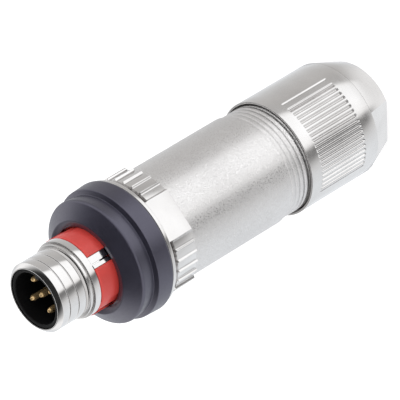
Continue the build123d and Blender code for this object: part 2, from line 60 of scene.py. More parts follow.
MM = 0.001
FLOOR_HALF = 1.5
FLOOR_GLOW = 0.5
# Small steps between faces that touch, nearly touch or are kept apart
SNUG = 0.02 * MM
CLEAR = 0.05 * MM
SEAM = 0.06 * MM
FACE_GAP = 0.1 * MM

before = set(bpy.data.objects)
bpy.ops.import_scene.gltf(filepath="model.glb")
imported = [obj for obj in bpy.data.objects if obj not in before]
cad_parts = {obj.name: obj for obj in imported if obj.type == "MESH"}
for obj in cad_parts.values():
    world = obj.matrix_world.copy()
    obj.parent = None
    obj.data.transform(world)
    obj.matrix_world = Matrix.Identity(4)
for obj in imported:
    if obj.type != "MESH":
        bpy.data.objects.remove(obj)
frame_low, frame_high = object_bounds()
sleeve_low, sleeve_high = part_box("coupling_sleeve")
collar_low, collar_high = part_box("latch_collar")
stop_low, stop_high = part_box("stop_ring")
lock_low, lock_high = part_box("lock_ring")
grip_low, grip_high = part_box("grip_ring")
shell_low, shell_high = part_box("housing_shell")
carrier_low, carrier_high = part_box("contact_carrier")
cap_low, cap_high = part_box("cap_nut")
seal_low, seal_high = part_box("cable_seal")


def length(name, description, millimetres):
    """A length property whose default is given in millimetres."""
    return FloatProperty(
        name=name, description=description, default=millimetres * MM, unit="LENGTH", precision=5
    )


def angle(name, description, value):
    """An angle property whose default is given in degrees."""
    return FloatProperty(name=name, description=description, default=radians(value), subtype="ANGLE")


def number(name, description, value):
    """A plain number property."""
    return FloatProperty(name=name, description=description, default=value)


def paint(name, description, value):
    """A colour property."""
    return FloatVectorProperty(
        name=name, description=description, default=value, size=3, min=0.0, max=1.0, subtype="COLOR"
    )


class PlugSizes(PropertyGroup):
    """Lengths and angles of the visible pieces."""

    turn_steps: IntProperty(name="Turning steps", description="Faces round a turned piece", default=192)
    knurl_steps: IntProperty(name="Knurl steps", description="Faces round a knurled piece", default=1080)
    edge_break: length("Edge break", "Width of the small round on each machined edge", 0.05)
    index_angle: angle("Index angle", "Direction of the first bar and of the grip's first land", 272)

    thread_radius: length("Thread radius", "Outer radius of the sleeve's thread", 5.97)
    rim_radius: length("Rim radius", "Outer radius of the sleeve's front rim", 5.35)
    rim_slope: length("Rim slope", "Length of the sleeve's front chamfer", 0.6)
    sleeve_bore: length("Sleeve bore", "Inner radius of the sleeve", 5.18)
    crest_drop: length("Crest drop", "Depth of the two turned grooves between the crests", 0.16)
    crest_gap: length("Crest gap", "Width of the two turned grooves", 0.26)
    first_gap: length("First groove", "Distance from the rim", 2.05)
    second_gap: length("Second groove", "Distance from the rim", 3.9)
    relief_start: length("Relief start", "Distance from the rim", 5.4)
    relief_radius: length("Relief radius", "Radius of the relief behind the thread", 5.75)
    bead_start: length("Bead start", "Distance from the rim", 6.1)
    bead_radius: length("Bead radius", "Radius of the bead", 6.36)
    bead_end: length("Bead end", "Distance of the bead's rear from the rim", 6.6)
    bead_groove: length("Bead groove", "Radius of the groove behind the bead", 6.12)
    flange_start: length("Flange start", "Distance from the rim", 6.82)
    flange_radius: length("Flange radius", "Radius of the sleeve's flange", 6.67)
    flange_end: length("Flange end", "Distance of the flange's rear face from the rim", 8.0)
    tube_radius: length("Tube radius", "Radius of the sleeve's tube under the collar", 5.92)
    hub_start: length("Hub start", "Distance of the sleeve's hub from the rim", 12.6)
    hub_radius: length("Hub radius", "Radius of the sleeve's hub", 6.6)
    bar_width: length("Bar width", "Width of each bar of the sleeve", 2.05)
    bar_radius: length("Bar radius", "Distance of each bar's face from the axis", 6.5)
    bar_rise: length("Bar rise", "Height of the slope on each bar at the lock ring's mouth", 0.16)
    bar_rise_start: length("Bar slope start", "Distance of that slope from the rim", 10.3)
    bar_rise_end: length("Bar slope end", "Distance of that slope's rear end from the rim", 11.25)
    bar_slot: length("Bar slot", "Width of the slot along each bar", 0.22)
    bar_slot_offset: length("Bar slot offset", "Width of the bar's part above the slot", 1.2)

    collar_radius: length("Collar radius", "Radius of the red collar's rear part", 7.5)
    finger_radius: length("Finger radius", "Outer radius of the collar's fingers", 6.9)
    finger_low_radius: length("Low end radius", "Radius of the fingers' low ends", 6.66)
    finger_low_reach: angle("Low end reach", "Reach of the low ends from two of the bars", 29)
    collar_land: length("Collar land", "Length of the collar's rear part in front of the hub", 0.3)
    collar_face: length("Collar face", "Radius where the collar's front chamfer starts", 6.75)
    collar_slope: length("Collar slope", "Length of the collar's front chamfer", 0.32)
    collar_slot: length("Collar slot", "Width of the collar's gap at each bar", 2.25)
    window_depth: length("Window depth", "Depth of the groove that the stop ring slides in", 0.8)
    window_length: length("Window length", "Length of that groove in front of the stop ring", 3.3)

    lock_mouth: length("Lock mouth", "Radius where the lock ring's conical face starts", 8.1)
    lock_lip: length("Lock lip", "Inner radius of the flat lip round the collar's fingers", 7.0)
    lock_lip_depth: length("Lip depth", "Thickness of that lip", 0.85)
    lock_bore: length("Lock bore", "Inner radius of the lock ring", 7.62)
    lock_shoulder: length("Lock shoulder", "Radius at the front face's outer corner", 10.75)
    lock_shoulder_drop: length("Shoulder drop", "Distance of that corner from the front", 2.0)
    lock_waist: length("Lock waist", "Radius of the waist in front of the rear band", 10.45)
    lock_waist_drop: length("Waist drop", "Distance of the waist's rear end from the front", 4.42)
    lock_band: length("Band radius", "Front radius of the wide rear band", 11.25)
    lock_band_drop: length("Band drop", "Distance of the rear band from the front", 4.8)
    lock_rear: length("Band rear radius", "Rear radius of the wide rear band", 11.42)

    grip_radius: length("Grip radius", "Outer radius of the knurled grip", 10.9)
    grip_flange: length("Grip flange radius", "Radius of the thin flange in front of the knurl", 11.1)
    grip_flange_length: length("Grip flange", "Length of the thin flange", 0.55)
    grip_neck: length("Grip neck radius", "Radius of the groove behind the flange", 9.95)
    grip_neck_length: length("Grip neck", "Length of the groove behind the flange", 1.05)
    grip_bore: length("Grip bore", "Inner radius of the grip's cup", 8.28)
    grip_web: length("Grip web", "Thickness of the grip's front wall", 2.0)
    pocket_depth: length("Pocket depth", "Depth of the pockets between the grip's ridges", 0.36)
    ridge_half: angle("Ridge half width", "Half of each rounded ridge's width", 1.35)
    land_half: angle("Land half width", "Half of each flat land's width", 19.75)

    barrel_radius: length("Barrel radius", "Outer radius of the smooth barrel", 9.7)
    neck_radius: length("Neck radius", "Outer radius of the barrel's front neck", 8.2)
    barrel_length: length("Barrel length", "Length of the smooth barrel", 21.7)
    neck_wall: length("Neck wall", "Thickness of the neck and of the barrel's front wall", 1.1)
    barrel_bore: length("Barrel bore", "Inner radius of the barrel", 8.3)
    relief_width: length("Thread relief", "Length of the groove in front of the rear thread", 1.3)
    root_radius: length("Thread root", "Root radius of the rear thread", 9.37)
    crest_radius: length("Thread crest", "Crest radius of the rear thread", 9.45)
    pitch: length("Thread pitch", "Advance of the rear thread in a turn", 1.0)

    cap_radius: length("Cap radius", "Outer radius of the cap nut", 10.1)
    cap_bore: length("Cap bore", "Radius of the cap nut's thread bore", 9.5)
    cap_entry: length("Cap entry", "Radius of the cable entry", 4.6)
    cap_end: length("Cap end radius", "Radius of the cap's tapered end", 8.1)
    cap_taper: length("Cap taper", "Length of the cap's tapered end", 5.7)
    rib_start: length("Rib start", "Height of the ribs' rear end", 8.6)
    rib_end: length("Rib end", "Height of the ribs' front end", 18.9)
    rib_depth: length("Rib depth", "Depth of the grooves between the ribs", 0.3)
    rib_half_width: angle("Groove half width", "Half of each rib groove's width", 1.5)
    rib_angle: angle("Rib direction", "Middle of the first group of ribs", 252.5)
    flat_angle: angle("Flat direction", "Direction that the first wrench flat faces", 227)

    insert_radius: length("Insert radius", "Outer radius of the contact insert", 5.1)
    cup_radius: length("Cup radius", "Inner radius of the contact insert's cup", 4.5)
    cup_depth: length("Cup depth", "Depth of the cup below the rim", 8.8)
    key_angle: angle("Key direction", "Direction of the coding key", 309)
    key_width: length("Key width", "Width of the coding key", 0.95)
    key_height: length("Key height", "Height of the coding key over the cup's wall", 0.65)
    pin_radius: length("Pin radius", "Radius of each contact pin", 0.5)
    pin_circle: length("Pin circle", "Distance of the outer contacts from the axis", 2.75)
    pin_angle: angle("Pin direction", "Direction of the first outer contact", 84)


class PlugFinishes(PropertyGroup):
    """Colours and roughness of the finishes."""

    nickel: paint("Bright nickel", "Plating of the sleeve, the grip and the cap", (0.715, 0.704, 0.70))
    nickel_shade: paint("Nickel shade", "Darker tone in the bright plating", (0.625, 0.614, 0.608))
    # Painted shade: the colour the grip's plating takes deep in its groove, standing in for the groove's
    # shadow
    painted_groove_shade: paint("Painted groove shade", "Painted shade deep in the grip's groove", (0.34, 0.325, 0.315))
    nickel_rough: number("Nickel roughness", "Roughness of the bright plating", 0.17)
    satin: paint("Satin nickel", "Plating of the barrel", (0.72, 0.709, 0.705))
    satin_shade: paint("Satin shade", "Darker tone in the satin plating", (0.65, 0.639, 0.636))
    satin_rough: number("Satin roughness", "Least roughness of the satin plating", 0.15)
    satin_pits: number("Satin pits", "Roughness of the satin plating's pits", 0.75)
    sleeve_rough: number("Sleeve roughness", "Roughness of the sleeve", 0.1)
    black: paint("Black plastic", "Moulded plastic of the lock ring", (0.012, 0.0115, 0.019))
    black_gloss: paint("Black gloss", "Tint of the black plastic's gloss", (0.82, 0.80, 1.0))
    red: paint("Red plastic", "Moulded plastic of the collar", (0.66, 0.060, 0.050))
    insert: paint("Insert plastic", "Moulded plastic of the contact insert", (0.003, 0.003, 0.0036))
    gold: paint("Gold", "Plating of the contacts", (0.86, 0.60, 0.30))
    rubber: paint("Rubber", "Seals", (0.022, 0.022, 0.024))
    grey: paint("Grey plastic", "Clamp cage, thrust ring and terminal block", (0.16, 0.165, 0.18))
    steel: paint("Spring steel", "Snap rings, screws and shield ring", (0.56, 0.55, 0.54))


class StudioSettings(PropertyGroup):
    """Where the camera stands and how bright the studio is."""

    lens: number("Lens", "Focal length in millimetres", 399.5)
    elevation: angle("Elevation", "Height of the camera's view over the horizon", 34.92)
    roll: angle("Roll", "Turn of the camera about its own line of sight", 238.93)
    side: length("Sideways", "Rim's distance to the left of the line of sight", 25.62)
    drop: length("Drop", "Rim's distance below the line of sight", 15.36)
    distance: length("Distance", "Rim's distance in front of the camera", 685.7)
    soft_level: number("Soft level", "Brightness of the soft surroundings", 0.62)
    horizon: number("Horizon", "Brightness that gloss finds low around", 1.3)
    ceiling: number("Ceiling", "Brightness that gloss finds overhead", 0.03)
    cards: number("Cards", "Brightness of the palest card that gloss finds", 1.5)
    below: number("Below", "Brightness that gloss finds straight below", 1.12)
    floor_level: number("Floor level", "Diffuse brightness of the floor", 0.82)


def sizes():
    """The sizes that are set now."""
    return bpy.context.scene.plug_sizes


def finishes():
    """The finishes that are set now."""
    return bpy.context.scene.plug_finishes


def bevelled(mesh, parts, kind, reach, segments):
    """Gives corners or edges a round profile."""
    bmesh.ops.bevel(
        mesh,
        geom=parts,
        offset=reach,
        offset_type="OFFSET",
        segments=segments,
        profile=0.5,
        affect=kind,
        clamp_overlap=kind == "EDGES",
        material=-1,
    )


def turn_mesh(mesh, turn):
    """Turns a mesh about the plug's axis."""
    bmesh.ops.rotate(mesh, verts=mesh.verts, cent=(0, 0, 0), matrix=Matrix.Rotation(turn, 3, "Z"))


def turned(outline, steps, sweep=2 * pi, start=0.0, rounds=(), climb=0.0):
    """Spins a closed (radius, height) outline about the plug's axis.

    Each round is (corner numbers, distance): those corners get a round of that reach.
    The outline climbs by the given distance in each step.
    """
    mesh = bmesh.new()
    corners = [mesh.verts.new((radius, 0.0, height)) for radius, height in outline]
    for near, far in zip(corners, corners[1:] + corners[:1]):
        mesh.edges.new((near, far))
    for numbers, reach in rounds:
        bevelled(mesh, [corners[corner] for corner in numbers], "VERTICES", reach, 5)
    turn_mesh(mesh, start)
    closes = abs(sweep - 2 * pi) < 1e-6
    bmesh.ops.spin(
        mesh,
        geom=mesh.verts[:] + mesh.edges[:],
        cent=(0, 0, 0),
        axis=(0, 0, 1),
        dvec=(0, 0, climb),
        angle=sweep,
        steps=steps,
        use_merge=closes,
        use_duplicate=False,
    )
    bmesh.ops.remove_doubles(mesh, verts=mesh.verts, dist=1e-7)
    if not closes:
        ends = [edge for edge in mesh.edges if edge.is_boundary]
        bmesh.ops.holes_fill(mesh, edges=ends, sides=0)
    bmesh.ops.recalc_face_normals(mesh, faces=mesh.faces)
    return mesh


def soften(mesh, width, segments=2, least=28.0):
    """Rounds every edge that is sharper than the least angle, in degrees."""
    sharp = [
        edge
        for edge in mesh.edges
        if len(edge.link_faces) == 2 and edge.calc_face_angle(0.0) > radians(least)
    ]
    bevelled(mesh, sharp, "EDGES", width, segments)


def slab(outline, start, width, turn):
    """A closed (radius, height) outline as a straight slab, turned about the plug's axis."""
    mesh = bmesh.new()
    side = mesh.faces.new([mesh.verts.new((radius, start, height)) for radius, height in outline])
    copy = bmesh.ops.extrude_face_region(mesh, geom=[side])["geom"]
    corners = [item for item in copy if isinstance(item, bmesh.types.BMVert)]
    bmesh.ops.translate(mesh, vec=(0, width, 0), verts=corners)
    turn_mesh(mesh, turn)
    bmesh.ops.recalc_face_normals(mesh, faces=mesh.faces)
    return mesh


def merged(*meshes):
    """One mesh that holds all the given ones as separate shells."""
    whole = bmesh.new()
    for mesh in meshes:
        data = bpy.data.meshes.new("part")
        mesh.to_mesh(data)
        mesh.free()
        whole.from_mesh(data)
        bpy.data.meshes.remove(data)
    return whole


def new_object(mesh, name, material):
    """Makes the mesh an object of the scene, with its material."""
    data = bpy.data.meshes.new(name)
    mesh.to_mesh(data)
    mesh.free()
    data.materials.append(material)
    thing = bpy.data.objects.new(name, data)
    bpy.context.scene.collection.objects.link(thing)
    return thing


def finish_piece(mesh, name, material, body, slot, *nodes):
    """Makes the mesh an object that rides on its body and stands for its nodes."""
    piece = new_object(mesh, name, material)
    for polygon in piece.data.polygons:
        polygon.use_smooth = True
    piece.data.set_sharp_from_angle(angle=radians(50))
    shading = piece.modifiers.new("even shading", "WEIGHTED_NORMAL")
    shading.keep_sharp = True
    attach(piece, body)
    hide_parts(*nodes)


def press_in(mesh, outer, low, high, radius_at):
    """Moves the outer vertices between two heights to the radius wanted at their direction."""
    for corner in mesh.verts:
        radius = corner.co.xy.length
        if radius < outer - CLEAR or not low < corner.co.z < high:
            continue
        wanted = radius_at(degrees(atan2(corner.co.y, corner.co.x)) % 360)
        if wanted and wanted < radius:
            corner.co.x *= wanted / radius
            corner.co.y *= wanted / radius


def blank_material(name, kind="ShaderNodeBsdfPrincipled"):
    """A material with its shader, and the object's own coordinates."""
    material = bpy.data.materials.get(name) or bpy.data.materials.new(name)
    material.use_nodes = True
    tree = material.node_tree
    tree.nodes.clear()
    output = tree.nodes.new("ShaderNodeOutputMaterial")
    shader = tree.nodes.new(kind)
    tree.links.new(shader.outputs["BSDF"], output.inputs["Surface"])
    place = tree.nodes.new("ShaderNodeTexCoord").outputs["Object"]
    return material, tree, shader, place


def filled(tree, node, values):
    """Sets or links sockets of a node, by name or number, and gives the node back."""
    for socket, value in values.items():
        if isinstance(value, NodeSocket):
            tree.links.new(value, node.inputs[socket])
        else:
            node.inputs[socket].default_value = value
    return node


def added(tree, kind, values):
    """A new node, with some of its sockets set or linked."""
    return filled(tree, tree.nodes.new(kind), values)


def noise(tree, place, scale, detail=3.0, stretch=(1, 1, 1)):
    """A noise over the given coordinates, stretched along the axes."""
    mapping = added(tree, "ShaderNodeMapping", {"Scale": stretch, "Vector": place})
    values = {"Scale": scale, "Detail": detail, "Vector": mapping.outputs["Vector"]}
    return added(tree, "ShaderNodeTexNoise", values).outputs["Fac"]


def spread(tree, value, low, high, start=0.3, end=0.7):
    """Maps a value between start and end, such as a noise's middle part, onto a range."""
    values = {"From Min": start, "From Max": end, "To Min": low, "To Max": high, "Value": value}
    return added(tree, "ShaderNodeMapRange", values).outputs["Result"]


def mixed(tree, share, first, second):
    """The first colour where the share is 0, and the second where it is 1."""
    node = tree.nodes.new("ShaderNodeMix")
    node.data_type = "RGBA"
    first, second = (
        colour if isinstance(colour, NodeSocket) else (*colour, 1) for colour in (first, second)
    )
    return filled(tree, node, {"Factor": share, "A": first, "B": second}).outputs["Result"]


def relief(tree, shader, heights):
    """Chains bumps, given as (height value, depth in metres, strength)."""
    normal = {}
    for value, depth, strength in heights:
        values = {"Distance": depth, "Strength": strength, "Height": value, **normal}
        normal = {"Normal": added(tree, "ShaderNodeBump", values).outputs["Normal"]}
    filled(tree, shader, normal)


def plated_metal(
    name, light, shade, rough, lay_depth, cloud_scale=140.0, grain_scale=2600.0, pits=None, streaks=0.0
):
    """Plated metal: soft cloudiness, uneven gloss, turning marks, tiny pits, faint long streaks."""
    material, tree, shader, place = blank_material(name)
    clouds = noise(tree, place, cloud_scale, 4.0)
    tone = mixed(tree, spread(tree, clouds, 0, 1), light, shade)
    grain = noise(tree, place, grain_scale, 2.0)
    gloss = spread(tree, grain, rough * 0.8, pits or rough * 1.25)
    filled(tree, shader, {"Metallic": 1.0, "Base Color": tone, "Roughness": gloss})
    lay = noise(tree, place, 60.0, 2.0, (0.05, 0.05, 30))
    long = noise(tree, place, 700.0, 2.0, (1, 1, 0.03))
    relief(tree, shader, [(lay, lay_depth, 0.35), (grain, 1e-6, 0.3), (long, streaks, 0.3)])
    return material


def moulded_plastic(name, colour, rough, texture_depth, texture_scale=5200.0, lift=1.5):
    """Moulded plastic: a fine eroded texture, slightly uneven tone and gloss."""
    material, tree, shader, place = blank_material(name)
    paler = [min(1.0, part * lift + 0.002) for part in colour]
    clouds = noise(tree, place, 260.0, 4.0)
    tone = mixed(tree, spread(tree, clouds, 0, 1), colour, paler)
    grain = noise(tree, place, texture_scale, 3.0)
    gloss = spread(tree, grain, rough * 0.88, rough * 1.15)
    filled(tree, shader, {"Base Color": tone, "Roughness": gloss})
    relief(tree, shader, [(grain, texture_depth, 0.5), (clouds, 2e-5, 0.15)])
    return material


def shader_of(material):
    """The material's shader."""
    return next(node for node in material.node_tree.nodes if node.type == "BSDF_PRINCIPLED")


def nickel_material(name="bright_nickel"):
    """Bright nickel of the knurled and ribbed pieces."""
    look = finishes()
    return plated_metal(name, look.nickel, look.nickel_shade, look.nickel_rough, 5e-6)


def grip_material(deep, shallow):
    """Bright nickel with painted shade: darker deep in the grip's groove, standing in for the groove's
    shadow.
    """
    material = nickel_material("grip_nickel_painted_shade")
    tree = material.node_tree
    colour = shader_of(material).inputs["Base Color"]
    place = tree.nodes.new("ShaderNodeTexCoord").outputs["Object"]
    flat = added(tree, "ShaderNodeMapping", {"Scale": (1, 1, 0), "Vector": place})
    reach = added(tree, "ShaderNodeVectorMath", {0: flat.outputs["Vector"]})
    reach.operation = "LENGTH"
    # Painted shade: the plating blends to the groove shade colour as the radius falls from shallow to deep
    share = spread(tree, reach.outputs["Value"], 0, 1, deep, shallow)
    tree.links.new(mixed(tree, share, finishes().painted_groove_shade, colour.links[0].from_socket), colour)
    return material


def satin_material():
    """Satin nickel of the barrel."""
    look = finishes()
    light, shade, rough, pits = look.satin, look.satin_shade, look.satin_rough, look.satin_pits
    return plated_metal("satin_nickel", light, shade, rough, 4e-6, 90.0, 7000.0, pits, 4e-7)


def sleeve_material():
    """Bright nickel of the sleeve, glossier than the other pieces."""
    look = finishes()
    return plated_metal("sleeve_nickel", look.nickel, look.nickel_shade, look.sleeve_rough, 3e-6)


def black_material():
    """Black plastic of the lock ring, with a bluish gloss."""
    look = finishes()
    material = moulded_plastic("black_plastic", look.black, 0.35, 2.2e-5, 3200.0)
    gloss = {"IOR": 1.6, "Specular IOR Level": 1.0, "Specular Tint": (*look.black_gloss, 1)}
    filled(material.node_tree, shader_of(material), gloss)
    return material


def gold_material():
    """Gold plating of the contacts."""
    look = finishes()
    shade = [part * 0.82 for part in look.gold]
    material = plated_metal("contact_gold", look.gold, shade, 0.22, 3e-6, 900.0)
    shader_of(material).inputs["Metallic"].default_value = 0.8
    return material


class PLUG_OT_sleeve(Operator):
    """Makes the threaded metal sleeve with its bead, flange and four slotted bars."""

    bl_idname = "plug.sleeve"
    bl_label = "Threaded Sleeve"

    def execute(self, context):
        part = sizes()
        top = sleeve_high.z
        half_gap = part.crest_gap / 2
        groove_floor = part.thread_radius - part.crest_drop
        profile = [(part.sleeve_bore, 0), (part.rim_radius, 0), (part.thread_radius, part.rim_slope)]
        for gap in (part.first_gap, part.second_gap):
            profile += [
                (part.thread_radius, gap - half_gap),
                (groove_floor, gap - half_gap * 0.3),
                (groove_floor, gap + half_gap * 0.3),
                (part.thread_radius, gap + half_gap),
            ]
        profile.append((part.thread_radius, part.relief_start))
        sleeve_length = top - sleeve_low.z
        for radius, front, rear in (
            (part.relief_radius, part.relief_start + half_gap, part.bead_start),
            (part.bead_radius, part.bead_start, part.bead_end),
            (part.bead_groove, part.bead_end, part.flange_start),
            (part.flange_radius, part.flange_start, part.flange_end),
            (part.tube_radius, part.flange_end, part.hub_start),
            (part.hub_radius, part.hub_start, sleeve_length),
        ):
            profile += [(radius, front), (radius, rear)]
        profile.append((part.sleeve_bore, sleeve_length))
        outline = [(radius, top - from_rim) for radius, from_rim in profile]
        tube = turned(outline, part.turn_steps)
        soften(tube, part.edge_break * 1.3, 3)
        shells = [tube]
        floor = part.tube_radius - 0.2 * MM
        rail_floor = part.bar_radius - 0.4 * MM
        low, high = top - part.hub_start, top - part.flange_end + SNUG
        slope_top, slope_low = top - part.bar_rise_start, top - part.bar_rise_end
        wide = part.bar_slot_offset
        narrow = part.bar_width - part.bar_slot - wide
        half = part.bar_width / 2
        raised = part.bar_radius + part.bar_rise
        root = [(floor, low), (rail_floor, low), (rail_floor, high), (floor, high)]
        rails = [(root, -half, part.bar_width)]
        for start, width, end in ((half - wide, wide, high), (-half, narrow, high - part.bar_slot)):
            rail = [
                (floor, low),
                (raised, low),
                (raised, slope_low),
                (part.bar_radius, slope_top),
                (part.bar_radius, end),
                (floor, end),
            ]
            rails.append((rail, start, width))
        for quarter in range(4):
            turn = part.index_angle + quarter * pi / 2
            for outline, start, width in rails:
                rail = slab(outline, start, width, turn)
                soften(rail, part.edge_break * 0.6, 2)
                shells.append(rail)
        sleeve = merged(*shells)
        finish_piece(sleeve, "threaded_sleeve", sleeve_material(), "coupling", "nickel", "coupling_sleeve")
        return {"FINISHED"}


class PLUG_OT_collar(Operator):
    """Makes the red collar, with four fingers between the sleeve's bars."""

    bl_idname = "plug.collar"
    bl_label = "Marker Collar"

    def execute(self, context):
        part = sizes()
        top = collar_high.z - SEAM
        inner = part.tube_radius + 0.08 * MM
        hub_top = sleeve_high.z - part.hub_start
        gap = part.collar_slot / 2 / part.finger_radius
        low_reach = part.finger_low_reach - gap
        high_reach = pi / 2 - part.finger_low_reach - gap
        overlap = radians(0.3)
        shells = []
        for quarter in range(4):
            start = part.index_angle + quarter * pi / 2 + gap
            spans = [(start, pi / 2 - 2 * gap)]
            if quarter == 0:
                spans = [(start, high_reach), (start + high_reach - overlap, low_reach + overlap)]
            elif quarter == 3:
                spans = [(start + low_reach, high_reach), (start, low_reach + overlap)]
            for outer, (begin, sweep) in zip((part.finger_radius, part.finger_low_radius), spans):
                finger = [
                    (inner, top),
                    (outer - part.finger_radius + part.collar_face, top),
                    (outer, top - part.collar_slope),
                    (outer, hub_top + FACE_GAP),
                    (inner, hub_top + FACE_GAP),
                ]
                piece = turned(finger, 32, sweep, begin)
                soften(piece, part.edge_break * 1.4, 3)
                shells.append(piece)
        bore = part.hub_radius + SNUG
        rear_radius = part.collar_radius - SNUG
        window_radius = stop_high.x - part.window_depth
        window_low, window_high = stop_low.z - FACE_GAP, stop_high.z + part.window_length
        ring = [
            (bore, hub_top),
            (part.finger_radius, hub_top),
            (part.finger_radius, hub_top + part.collar_land),
            (rear_radius, hub_top + part.collar_land),
            (rear_radius, window_high),
            (window_radius, window_high),
            (window_radius, window_low),
            (rear_radius, window_low),
            (rear_radius, collar_low.z),
            (bore, collar_low.z),
        ]
        back = turned(ring, part.turn_steps)
        soften(back, part.edge_break, 2)
        shells.append(back)
        material = moulded_plastic("red_plastic", finishes().red, 0.34, 3e-6, 3500.0, 1.12)
        finish_piece(merged(*shells), "marker_collar", material, "coupling", "red_plastic", "latch_collar")
        return {"FINISHED"}


class PLUG_OT_lock_ring(Operator):
    """Makes the black lock ring with its conical face, waist and rear band."""

    bl_idname = "plug.lock_ring"
    bl_label = "Lock Ring"

    def execute(self, context):
        part = sizes()
        top = lock_high.z
        funnel = 0.2 * MM
        groove_radius = stop_high.x + CLEAR
        groove_low, groove_high = stop_low.z - CLEAR, stop_high.z + CLEAR
        outline = [
            (part.lock_lip, top - funnel),
            (part.lock_mouth - funnel, top),
            (part.lock_mouth, top),
            (part.lock_shoulder, top - part.lock_shoulder_drop),
            (part.lock_waist, top - part.lock_waist_drop),
            (part.lock_band, top - part.lock_band_drop),
            (part.lock_rear, lock_low.z),
            (part.lock_bore, lock_low.z),
            (part.lock_bore, groove_low),
            (groove_radius, groove_low),
            (groove_radius, groove_high),
            (part.lock_bore, groove_high),
            (part.lock_bore, top - part.lock_lip_depth),
            (part.lock_lip, top - part.lock_lip_depth),
        ]
        rounds = [((3,), 0.4 * MM), ((5,), 0.12 * MM), ((6,), 0.45 * MM), ((2, 4), 0.08 * MM)]
        ring = turned(outline, part.turn_steps, rounds=rounds)
        soften(ring, part.edge_break, 2, 40.0)
        finish_piece(ring, "lock_sleeve", black_material(), "lock", "black_plastic", "lock_ring")
        return {"FINISHED"}


class PLUG_OT_grip(Operator):
    """Makes the coarse knurled grip ring with its four smooth lands."""

    bl_idname = "plug.grip"
    bl_label = "Grip Ring"

    def execute(self, context):
        part = sizes()
        top, low = grip_high.z, grip_low.z
        flange_low = top - part.grip_flange_length
        neck_low = flange_low - part.grip_neck_length
        bore = part.hub_radius + SNUG
        wall = 0.24 * MM
        outline = [
            (bore, top),
            (part.grip_flange, top),
            (part.grip_flange, flange_low),
            (part.grip_radius, flange_low - wall),
            (part.grip_radius, neck_low + wall),
            (part.grip_radius, neck_low),
            (part.grip_radius, low),
            (part.grip_bore, low),
            (part.grip_bore, top - part.grip_web),
            (bore, top - part.grip_web),
        ]
        ring = turned(outline, part.knurl_steps)
        floor_radius = part.grip_radius - part.pocket_depth
        land_half, ridge_half = degrees(part.land_half), degrees(part.ridge_half)
        pitch = (90 - 2 * land_half) / 5
        flat_distance = part.grip_radius * cos(part.land_half)

        def turn_from_land(turn):
            return (turn - degrees(part.index_angle) + 45) % 90 - 45

        def pocket(turn):
            away = turn_from_land(turn)
            if abs(away) < land_half:
                return flat_distance / cos(radians(away))
            from_ridge = abs((abs(away) - land_half + pitch / 2) % pitch - pitch / 2)
            if from_ridge > ridge_half:
                return floor_radius
            return floor_radius + part.pocket_depth * cos(pi / 2 * from_ridge / ridge_half) ** 2

        def neck(turn):
            away = turn_from_land(turn)
            return min(part.grip_neck, pocket(turn)) if abs(away) > land_half else pocket(turn)

        press_in(ring, part.grip_radius, neck_low + wall / 2, flange_low - wall / 2, neck)
        press_in(ring, part.grip_radius, low - wall, neck_low + wall / 2, pocket)
        soften(ring, part.edge_break, 2, 34.0)
        # The painted shade in the grip's groove fades out between these two radii
        material = grip_material(part.grip_neck + 0.03 * MM, part.grip_neck + 0.3 * MM)
        finish_piece(ring, "knurled_grip", material, "coupling", "nickel", "grip_ring")
        return {"FINISHED"}


class PLUG_OT_barrel(Operator):
    """Makes the smooth barrel with its front neck and the helical rear thread."""

    bl_idname = "plug.barrel"
    bl_label = "Barrel"

    def execute(self, context):
        part = sizes()
        barrel_top = grip_low.z - FACE_GAP
        thread_top = barrel_top - part.barrel_length
        thread_front = thread_top - part.relief_width
        neck_bore = part.neck_radius - part.neck_wall
        relief_radius = part.crest_radius - 0.1 * MM
        outline = [
            (neck_bore, shell_high.z),
            (part.neck_radius, shell_high.z),
            (part.neck_radius, barrel_top),
            (part.barrel_radius, barrel_top),
            (part.barrel_radius, thread_top),
            (relief_radius, thread_top),
            (relief_radius, thread_front),
            (part.root_radius, thread_front),
            (part.root_radius, shell_low.z),
            (part.barrel_bore, shell_low.z),
            (part.barrel_bore, barrel_top - part.neck_wall),
            (neck_bore, barrel_top - part.neck_wall),
        ]
        tube = turned(outline, part.turn_steps)
        soften(tube, 0.16 * MM, 3)
        turns = int((thread_front - shell_low.z) / part.pitch)
        barrel = merged(tube, self.ridge(part, shell_low.z, turns))
        finish_piece(barrel, "smooth_barrel", satin_material(), "housing", "satin_nickel", "housing_shell")
        return {"FINISHED"}

    @staticmethod
    def ridge(part, low, turns):
        """One closed thread ridge that climbs one pitch in each turn."""
        inner, foot = part.root_radius - CLEAR, part.root_radius + SNUG
        shoulder = part.crest_radius - 0.03 * MM
        shares = (0.02, 0.1, 0.37, 0.5, 0.63, 0.9, 0.98)
        radii = (inner, foot, shoulder, part.crest_radius, shoulder, foot, inner)
        section = [(radius, low + share * part.pitch) for radius, share in zip(radii, shares)]
        steps = part.turn_steps // 2
        return turned(section, steps * turns, 2 * pi * turns, climb=part.pitch / steps)


